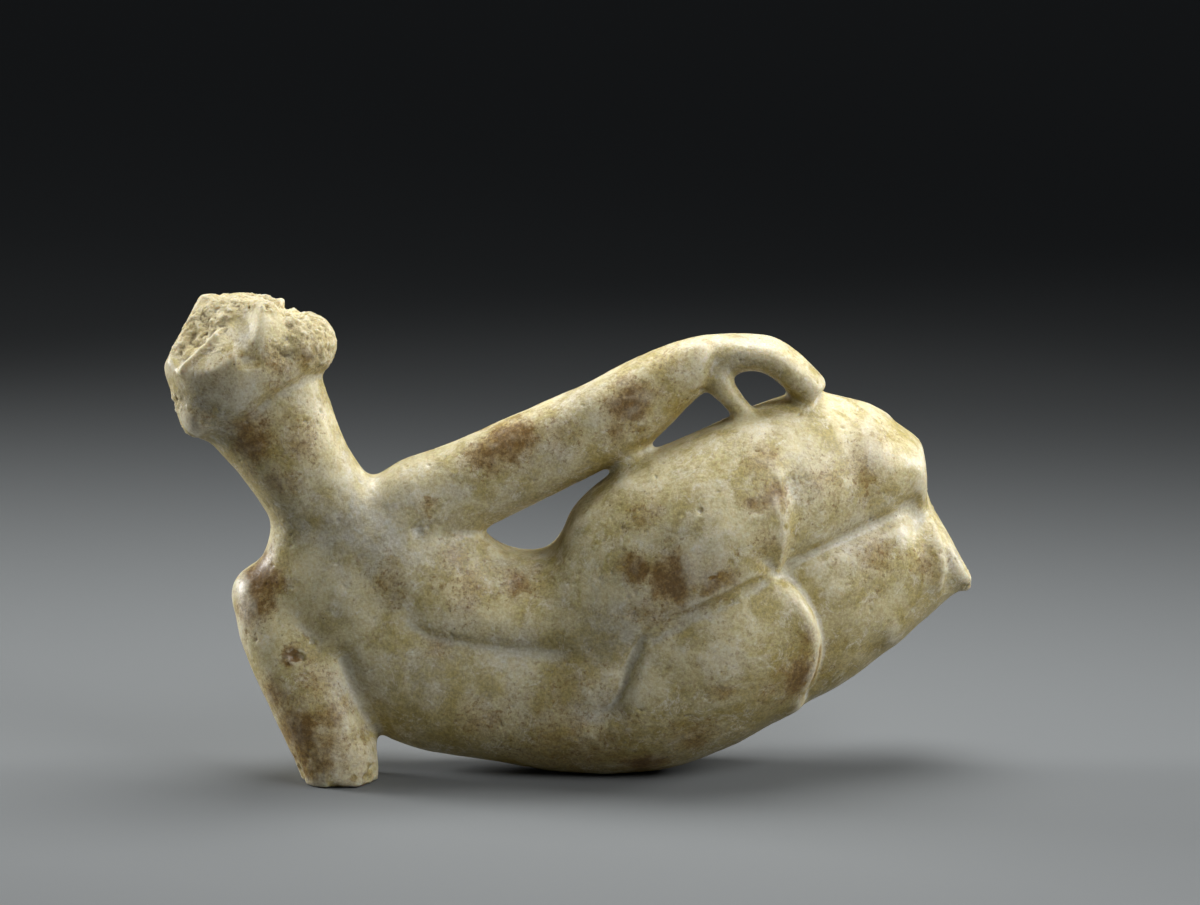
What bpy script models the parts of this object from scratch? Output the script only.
"""A reclining woman carved from one piece of alabaster.

She rests on the broken stump of one arm and on her hip.

Run it with blender --background --python part.py, or from Blender's text editor.

The figure lies along X: the head is at -X and the broken thighs at +X. Her back faces -Y and her front +Y.
The floor is z = 0. A carving has no fixed sizes of its own, so the pose and the proportions are shares of
its length: every free-form number below is in parts, and a part is a hundredth of the length.
"""

import math

import bmesh
import bpy
import numpy as np
from mathutils import Matrix, Vector

LENGTH = 0.150  # from the back of the head to the end of the broken thighs
PART = LENGTH / 100
GRAIN = 0.00075  # spacing of the surface while it is being worked
TRIANGLES = 9600  # faces that the finished solid may have
HIP_FLAT_DEPTH = 0.0006  # how far the hip is rubbed flat where it rests
STONE_COLOUR = (0.66, 0.60, 0.45, 1.0)
STONE_ROUGHNESS = 0.42
SHARP_ANGLE = 45  # edges sharper than this many degrees are shaded flat

RING = 32  # points round a section
STEPS = 4  # rings between two stations
FULLNESS = 2.3  # 2 is an ellipse, and more is squarer

BACK, FRONT = -1, 1

# Stations: x, y and z of the centre, lean of the section towards +X in degrees, half width, half depth
BODY = (
    (-34.6, 0.0, 33.8, 56, 3.4, 3.6),
    (-30.6, 0.0, 30.0, 54, 10.6, 6.0),
    (-27.0, 0.0, 26.4, 48, 12.8, 7.4),
    (-21.2, 0.0, 20.9, 38, 14.2, 8.6),
    (-14.4, 0.0, 16.4, 29, 14.3, 8.8),
    (-5.6, 0.0, 15.3, 13, 14.2, 8.6),
    (1.4, -0.2, 17.1, -3, 17.3, 9.6),
    (6.0, -0.3, 18.9, -6, 18.8, 10.8),
    (11.2, -0.4, 20.9, -7, 19.9, 11.8),
    (18.2, 0.0, 23.7, -6, 20.1, 12.8),
    (25.4, 1.6, 27.1, -7, 19.7, 12.6),
    (32.6, 4.2, 29.5, -8, 18.7, 11.2),
    (39.0, 6.4, 31.0, -8, 15.6, 9.8),
    (42.6, 7.6, 32.4, -10, 12.4, 9.0),
)
NECK = (
    (-40.6, -1.4, 52.0, 60, 7.4, 5.4),
    (-37.8, -1.2, 46.6, 60, 8.0, 5.8),
    (-34.7, -0.8, 41.0, 61, 6.8, 6.0),
    (-31.7, -0.2, 35.6, 60, 6.6, 6.2),
    (-28.6, 0.0, 30.2, 58, 8.6, 5.8),
)
ARM = (
    (-24.0, 0.0, 29.8, -35, 5.0, 4.8),
    (-19.6, 0.0, 33.6, -28, 6.4, 5.8),
    (-13.4, 0.0, 36.6, -24, 5.8, 5.4),
    (-4.2, 0.2, 40.9, -23, 5.6, 5.0),
    (4.0, 0.5, 44.8, -24, 5.3, 4.8),
    (9.1, 1.0, 47.6, -20, 5.2, 4.8),
    (13.9, 1.5, 50.9, -20, 3.9, 4.2),
    (17.3, 2.0, 52.4, -8, 3.2, 3.9),
    (21.9, 2.0, 53.4, 0, 2.3, 4.4),
    (25.1, 2.0, 53.0, 15, 2.3, 4.6),
    (28.0, 2.0, 50.9, 31, 2.3, 4.4),
    (30.6, 2.0, 48.0, 50, 2.4, 3.8),
)
THUMB = (
    (17.6, 0.0, 51.4, 40, 2.3, 2.2),
    (19.4, -0.4, 48.8, 52, 1.6, 1.7),
    (21.7, -0.6, 46.2, 52, 1.3, 1.4),
    (23.2, -0.6, 44.2, 52, 1.5, 1.4),
)
ELBOW_BRIDGE = (
    (8.0, 0.6, 44.4, -65, 1.6, 3.2),
    (6.9, 0.6, 38.4, -65, 1.6, 3.0),
)
ARM_STUMP = (
    (-37.2, -0.4, 22.8, 96, 5.1, 5.0),
    (-35.9, -1.2, 19.0, 90, 5.9, 5.6),
    (-34.0, -2.2, 15.0, 84, 6.2, 5.8),
    (-32.0, -3.4, 10.6, 80, 5.9, 5.8),
    (-30.3, -4.4, 6.6, 77, 5.6, 5.5),
    (-29.1, -5.2, 2.9, 78, 5.1, 5.2),
    (-28.4, -5.6, -2.0, 80, 4.6, 4.8),
)
UPPER_THIGH = (
    (30.0, 4.0, 36.0, -8, 6.0, 8.0),
    (37.3, 6.2, 38.3, -9, 8.3, 9.6),
    (42.2, 7.6, 37.7, -9, 5.9, 8.6),
    (45.0, 8.0, 36.4, -4, 4.6, 7.2),
)
LOWER_THIGH = (
    (30.0, 4.0, 21.0, -14, 6.0, 8.0),
    (37.0, 6.0, 22.0, -20, 7.9, 9.4),
    (41.6, 7.2, 24.6, -24, 7.1, 8.8),
    (45.4, 8.0, 26.8, -28, 6.2, 8.0),
    (48.6, 8.4, 28.0, -29, 5.6, 7.2),
)

# Blobs: x, y and z of the centre, lean in degrees, half width, half depth, half length
SHOULDERS = (
    (-37.7, 0.0, 22.4, 40, 4.7, 5.0, 5.2),
    (-22.0, 0.0, 32.6, 50, 4.4, 5.2, 6.4),
)
KNOB = ((49.2, 7.4, 24.2, 57, 1.2, 2.2, 3.0),)
BREASTS = (
    (-16.6, 2.0, 24.6, 38, 6.2, 9.6, 6.0),
    (-24.0, 2.0, 15.6, 38, 6.2, 9.6, 6.0),
)
BELLY = ((2.0, 4.0, 17.6, 0, 10.0, 7.0, 11.0),)
# The hip swells here so that the flat under it is wide enough to stand on
HIP_REST = ((3.4, 1.6, 6.0, 0, 6.9, 8.5, 13.0),)

# Strokes: width and depth of the groove, how far its left side stands above its right,
# then x and z of its path
BACK_STROKES = (
    ("spine", 2.8, 0.5, 0.5, ((-31, 32), (-23, 24.5), (-17.5, 20.6), (-12.5, 18.9), (-5, 17.6), (3, 17.4))),
    ("between_buttocks", 4.4, 1.2, 0.0, ((9.5, 18.4), (14.5, 21.6), (19, 23.6), (25.8, 27.0))),
    ("cleft", 1.0, 0.8, 0.0, ((7.0, 14.6), (9.8, 18.6), (14.5, 21.6), (19, 23.6), (24.6, 26.4))),
    ("sacrum", 1.2, 0.4, -0.9, ((3.4, 8.4), (5.9, 9.6), (7.4, 13.4))),
    ("upper_fold", 0.7, -0.4, 0.3, ((26.4, 27.2), (26.9, 31), (26.8, 35), (26.0, 39.5))),
    ("lower_fold", 0.9, 0.5, 1.4, ((29.6, 10.4), (31.2, 16.8), (30.7, 20.8), (28.9, 24.6), (26.4, 26.6))),
    ("behind_thighs", 3.6, 1.0, 0.0, ((26.0, 27.2), (32.6, 30.2), (39, 32.6), (42, 33.7))),
    ("between_thighs", 0.9, 0.8, 0.0, ((27.4, 27.9), (32.6, 30.2), (39, 32.6), (45, 34.7))),
    ("armpit", 1.2, 0.9, 0.0, ((-28.0, 16.0), (-26.8, 12.6), (-25.2, 9.4), (-24.6, 7.0))),
    ("wrist", 0.7, 0.2, 0.6, ((16.8, 48.6), (17.2, 52), (17.8, 56))),
    ("waist_rim", 1.0, -0.35, 0.0, ((-11.5, 31.0), (-4, 28.8), (1, 32.6), (7, 38.0))),
)
FRONT_STROKES = (
    ("breast_bone", 2.2, 0.6, 0.0, ((-29, 29), (-21, 20.6), (-14, 17.0))),
    ("middle_line", 1.8, 0.4, 0.0, ((-14, 17.0), (-6, 16.2), (0, 17.2))),
    ("navel", 1.1, 0.7, 0.0, ((0.4, 17.4), (1.2, 17.6))),
    ("upper_groin", 1.6, 1.1, 0.0, ((7.4, 37), (9.5, 30), (14.0, 24.4))),
    ("lower_groin", 1.6, 1.1, 0.0, ((8.0, 4.6), (10.6, 13), (14.0, 20.6))),
    ("inside_thighs", 3.6, 1.2, 0.0, ((14.0, 22.6), (22, 26.0), (32, 29.8), (42, 33.6))),
    ("between_thighs", 1.0, 1.0, 0.0, ((14.0, 22.6), (22, 26.0), (32, 29.8), (40, 32.8))),
    ("fingers", 0.5, 0.3, 0.0, ((20, 53.4), (27, 51.6), (30, 48.4))),
)
# Places rubbed smooth, where one mass flows into the next: x, y, z and radius
SOFT_PLACES = (
    (-31.5, 0.0, 32.0, 6.5),
    (-34.8, -0.6, 25.0, 6.0),
    (-28.6, -2.4, 12.0, 6.5),
    (-21.0, 0.0, 30.0, 6.5),
    (7.8, 0.6, 40.0, 2.6),
    (28.0, 2.0, 34.0, 9.0),
    (30.0, 2.0, 20.0, 9.0),
    (37.0, 4.0, 30.0, 9.0),
    (44.0, 8.0, 34.0, 5.0),
    (2.0, 8.0, 18.0, 12.0),
    (-20.4, 6.0, 20.4, 6.0),
    (3.0, 10.0, 9.0, 8.0),
)
SOFT_TIMES = 60

# The head's own axes: across towards her right ear, forward out of the face, up to the crown
HEAD_CENTRE = Vector((-40.7, 0.0, 52.2))
HEAD_LEAN = math.radians(-29.5)
# Head blobs: across, forward and up, then half width, half depth, half height
SKULL = (
    (0.0, -0.8, 0.8, 9.4, 7.8, 9.8),
    (0.0, 2.2, -1.6, 6.8, 6.4, 8.0),
    (0.0, 3.0, -5.2, 5.4, 5.2, 4.6),
    (0.0, 5.4, -7.8, 3.0, 2.8, 2.0),
)
HAIR_ROLLS = (
    (7.9, -0.6, -1.5, 4.2, 6.0, 4.2),
    (-6.6, -0.6, -2.4, 3.7, 6.0, 4.4),
    (0.6, -2.8, -2.2, 9.4, 5.0, 4.2),
)
# Relief of the face: across, up, half width, half height and how far it stands out, the same on both sides
FACE = (
    ("forehead", 0.0, 3.4, 4.0, 1.8, 0.3),
    ("brow", 2.6, 1.5, 1.9, 0.6, 0.45),
    ("eye_socket", 2.5, 0.1, 1.8, 1.2, -1.2),
    ("eyeball", 2.6, -0.2, 1.3, 0.8, 1.1),
    ("bridge", 0.0, 0.6, 0.8, 1.7, 0.8),
    ("nose", 0.0, -1.6, 0.9, 1.4, 1.2),
    ("tip", 0.0, -3.0, 1.1, 0.8, 1.3),
    ("nostril", 1.2, -3.3, 0.6, 0.5, 0.6),
    ("cheek", 3.6, -3.0, 1.9, 1.9, 0.3),
    ("upper_lip", 0.0, -5.1, 1.8, 0.5, 0.5),
    ("mouth", 0.0, -5.7, 2.0, 0.35, -0.35),
    ("lower_lip", 0.0, -6.3, 1.4, 0.5, 0.5),
    ("under_lip", 0.0, -7.1, 1.6, 0.5, -0.25),
    ("chin", 0.0, -8.4, 1.7, 1.0, 0.3),
)
# Half width and half height of the oval of hair round the face, its middle, thickness and height
FRINGE = (6.3, 7.4, -1.4, 0.14, 0.9)
# Facets hacked across the crown: a point on each, then its outward direction, in the head's own axes
CROWN_FACETS = (
    ((-4.2, 0.0, 7.6), (-0.55, 0.0, 0.83)),
    ((4.6, 0.0, 7.2), (0.52, 0.0, 0.85)),
    ((-1.5, -5.6, 4.4), (-0.05, -0.66, 0.75)),
)


def clear_scene():
    for found in list(bpy.data.objects):
        bpy.data.objects.remove(found)


def between(rows, steps):
    """Rows with more rows on a smooth curve through them."""
    rows = np.array(rows, float)
    padded = np.vstack([2 * rows[0] - rows[1], rows, 2 * rows[-1] - rows[-2]])
    found = []
    for i in range(1, len(padded) - 2):
        before, start, end, after = padded[i - 1 : i + 3]
        for t in np.arange(steps) / steps:
            found.append(
                0.5
                * (
                    2 * start
                    + (end - before) * t
                    + (2 * before - 5 * start + 4 * end - after) * t**2
                    + (3 * start - before - 3 * end + after) * t**3
                )
            )
    return found + [rows[-1]]


def bulge(value):
    """A cosine or sine made squarer by FULLNESS."""
    return math.copysign(abs(value) ** (2 / FULLNESS), value)


def loft(body, stations):
    """A closed tube through the stations, each a rounded section that also runs along Y."""
    rings = []
    for x, y, z, lean, half_width, half_depth in between(stations, STEPS):
        lean = math.radians(lean)
        across = Vector((math.sin(lean), 0, math.cos(lean)))
        ring = bmesh.ops.create_circle(body, segments=RING, radius=1)["verts"]
        for vert in ring:
            side = across * bulge(vert.co.x) * half_width
            depth = Vector((0, bulge(vert.co.y) * half_depth, 0))
            vert.co = (Vector((x, y, z)) + side + depth) * PART
        rings.append([body.edges.get((a, b)) for a, b in zip(ring, ring[1:] + ring[:1])])
    for first, second in zip(rings, rings[1:]):
        bmesh.ops.bridge_loops(body, edges=first + second)
    for end in (rings[0], rings[-1]):
        bmesh.ops.edgeloop_fill(body, edges=end)


def blob(body, centre, turn, radii):
    """An egg, turned about Y and then moved to its centre."""
    size = Matrix.Diagonal((*[radius * PART for radius in radii], 1))
    place = Matrix.Translation(Vector(centre) * PART) @ turn @ size
    bmesh.ops.create_icosphere(body, subdivisions=4, radius=1, matrix=place)


def blobs(body, rows):
    for x, y, z, lean, half_width, half_depth, half_length in rows:
        turn = Matrix.Rotation(math.radians(lean), 4, "Y")
        blob(body, (x, y, z), turn, (half_length, half_depth, half_width))


def head_turn():
    return Matrix.Rotation(HEAD_LEAN, 4, "Y")


def head_point(across, forward, up):
    """A place in parts from the head's own axes."""
    return HEAD_CENTRE + head_turn() @ Vector((across, forward, up))


def head(body):
    for across, forward, up, half_width, half_depth, half_height in SKULL + HAIR_ROLLS:
        blob(body, head_point(across, forward, up), head_turn(), (half_width, half_depth, half_height))


def rough_out():
    """All the masses in one mesh, one inside another."""
    body = bmesh.new()
    for stations in (BODY, NECK, ARM, THUMB, ELBOW_BRIDGE, ARM_STUMP, UPPER_THIGH, LOWER_THIGH):
        loft(body, stations)
    for rows in (SHOULDERS, BREASTS, BELLY, HIP_REST, KNOB):
        blobs(body, rows)
    head(body)
    bmesh.ops.recalc_face_normals(body, faces=body.faces)
    mesh = bpy.data.meshes.new("reclining_woman")
    body.to_mesh(mesh)
    body.free()
    return mesh


def evaluated(source):
    """A new mesh of an object with its modifiers applied."""
    graph = bpy.context.evaluated_depsgraph_get()
    return bpy.data.meshes.new_from_object(source.evaluated_get(graph))


def weld(figure):
    """One skin over all the masses, at an even spacing."""
    remesh = figure.modifiers.new("one_skin", "REMESH")
    remesh.mode = "VOXEL"
    remesh.voxel_size = GRAIN
    smooth = figure.modifiers.new("rubbed", "SMOOTH")
    smooth.factor = 0.5
    smooth.iterations = 6
    figure.data = evaluated(figure)
    figure.modifiers.clear()


def skin(figure):
    """Points in parts, outward directions and the pairs of neighbours, as arrays."""
    mesh = figure.data
    points = np.array([vert.co for vert in mesh.vertices]) / PART
    outward = np.array([vert.normal for vert in mesh.vertices])
    pairs = np.array([edge.vertices[:] for edge in mesh.edges])
    return points, outward, pairs


def put_back(figure, points):
    figure.data.vertices.foreach_set("co", (points * PART).ravel())
    figure.data.update()


def soften(points, pairs, weight, times):
    """Each point moves towards the middle of its neighbours, as far as its weight says."""
    ends = np.concatenate([pairs, pairs[:, ::-1]])
    count = np.bincount(ends[:, 0], minlength=len(points))
    for _ in range(times):
        middle = [np.bincount(ends[:, 0], points[ends[:, 1], k], len(points)) / count for k in range(3)]
        points = points + weight[:, None] * (np.stack(middle, axis=1) - points)
    return points


def along(points, path):
    """Distance of each point from a path in x and z, and that distance signed.

    It is positive on the left of the path.
    """
    flat = points[:, [0, 2]]
    near = np.full(len(points), np.inf)
    signed = np.zeros(len(points))
    line = np.array(between(path, 6))
    for start, end in zip(line, line[1:]):
        run = end - start
        share = np.clip((flat - start) @ run / (run @ run), 0, 1)
        gap = flat - (start + share[:, None] * run)
        distance = np.hypot(gap[:, 0], gap[:, 1])
        left = (gap[:, 1] * run[0] - gap[:, 0] * run[1]) / np.hypot(*run)
        closer = distance < near
        near = np.where(closer, distance, near)
        signed = np.where(closer, left, signed)
    return near, signed


def carve(points, outward, strokes, side):
    """Grooves and steps cut into the side of the figure that faces BACK or FRONT."""
    facing = np.clip(outward[:, 1] * side * 2, 0, 1)
    for _, width, depth, step, path in strokes:
        near, signed = along(points, path)
        groove = -depth * np.exp(-((near / width) ** 2))
        ledge = 0.5 * step * np.tanh(1.5 * signed / width) * np.exp(-((near / (4 * width)) ** 2))
        points = points + outward * (facing * (groove + ledge))[:, None]
    return points


def model_face(points):
    """Features of the face and the roll of hair round it, raised and sunk along the way the head looks."""
    turn = np.array(head_turn().to_3x3())
    across, forward, up = ((points - np.array(HEAD_CENTRE)) @ turn).T
    ahead = np.clip((forward - 1) / 3, 0, 1) * (np.hypot(across, up) < 13)
    rise = np.zeros(len(points))
    for _, side, height, half_width, half_height, stand in FACE:
        for middle in {side, -side}:
            spread = ((across - middle) / half_width) ** 2 + ((up - height) / half_height) ** 2
            rise += stand * np.exp(-spread)
    half_width, half_height, middle, thickness, stand = FRINGE
    ring = np.hypot(across / half_width, (up - middle) / half_height)
    rise += stand * np.exp(-(((ring - 1.1) / thickness) ** 2)) * (up > -5)
    return points + np.outer(ahead * rise, turn[:, 1])


def hack(points, facets):
    """Flat facets: whatever stands outside a facet is brought down to it."""
    near_head = np.linalg.norm(points - np.array(HEAD_CENTRE), axis=1) < 16
    for place, direction in facets:
        outside = np.array((head_turn() @ Vector(direction)).normalized())
        height = (points - np.array(head_point(*place))) @ outside
        points = points - outside * np.where(near_head, np.clip(height, 0, None), 0)[:, None]
    return points


def finish_carving(figure):
    points, _, pairs = skin(figure)
    weight = np.zeros(len(points))
    for x, y, z, radius in SOFT_PLACES:
        gap = np.linalg.norm(points - (x, y, z), axis=1)
        weight = np.maximum(weight, 0.6 * np.exp(-((gap / radius) ** 4)))
    put_back(figure, soften(points, pairs, weight, SOFT_TIMES))
    points, outward, pairs = skin(figure)
    points = carve(points, outward, BACK_STROKES, BACK)
    points = carve(points, outward, FRONT_STROKES, FRONT)
    points = hack(model_face(points), CROWN_FACETS)
    put_back(figure, soften(points, pairs, np.full(len(points), 0.3), 2))


def thin_out(figure):
    thin = figure.modifiers.new("thinned", "DECIMATE")
    thin.ratio = min(1.0, TRIANGLES / (2 * len(figure.data.polygons)))
    figure.data = evaluated(figure)
    figure.modifiers.clear()


def cut_flat(figure):
    """The hip and the arm stump ground to the floor plane, so that the figure rests level."""
    body = bmesh.new()
    body.from_mesh(figure.data)
    geometry = body.verts[:] + body.edges[:] + body.faces[:]
    cut = bmesh.ops.bisect_plane(
        body, geom=geometry, plane_co=(0, 0, HIP_FLAT_DEPTH), plane_no=(0, 0, -1), clear_outer=True
    )
    rim = [found for found in cut["geom_cut"] if isinstance(found, bmesh.types.BMEdge)]
    bmesh.ops.edgeloop_fill(body, edges=rim)
    bmesh.ops.triangulate(body, faces=body.faces)
    body.to_mesh(figure.data)
    body.free()


def centre_on_floor(figure):
    points = np.array([vert.co for vert in figure.data.vertices])
    low, high = points.min(axis=0), points.max(axis=0)
    shift = Vector((-(low[0] + high[0]) / 2, -(low[1] + high[1]) / 2, -low[2]))
    figure.data.transform(Matrix.Translation(shift))
    print("moved by", [round(value * 1000, 3) for value in shift], "mm")
    return shift


def stone():
    material = bpy.data.materials.new("alabaster")
    material.use_nodes = True
    shader = material.node_tree.nodes["Principled BSDF"]
    shader.inputs["Base Color"].default_value = STONE_COLOUR
    shader.inputs["Roughness"].default_value = STONE_ROUGHNESS
    shader.inputs["Metallic"].default_value = 0.0
    return material


def main():
    clear_scene()
    figure = bpy.data.objects.new("reclining_woman", rough_out())
    collection = bpy.data.collections.new("reclining_woman")
    bpy.context.scene.collection.children.link(collection)
    collection.objects.link(figure)
    weld(figure)
    finish_carving(figure)
    thin_out(figure)
    cut_flat(figure)
    centre_on_floor(figure)
    figure.data.materials.append(stone())
    figure.data.shade_smooth()
    figure.data.set_sharp_from_angle(angle=math.radians(SHARP_ANGLE))


main()
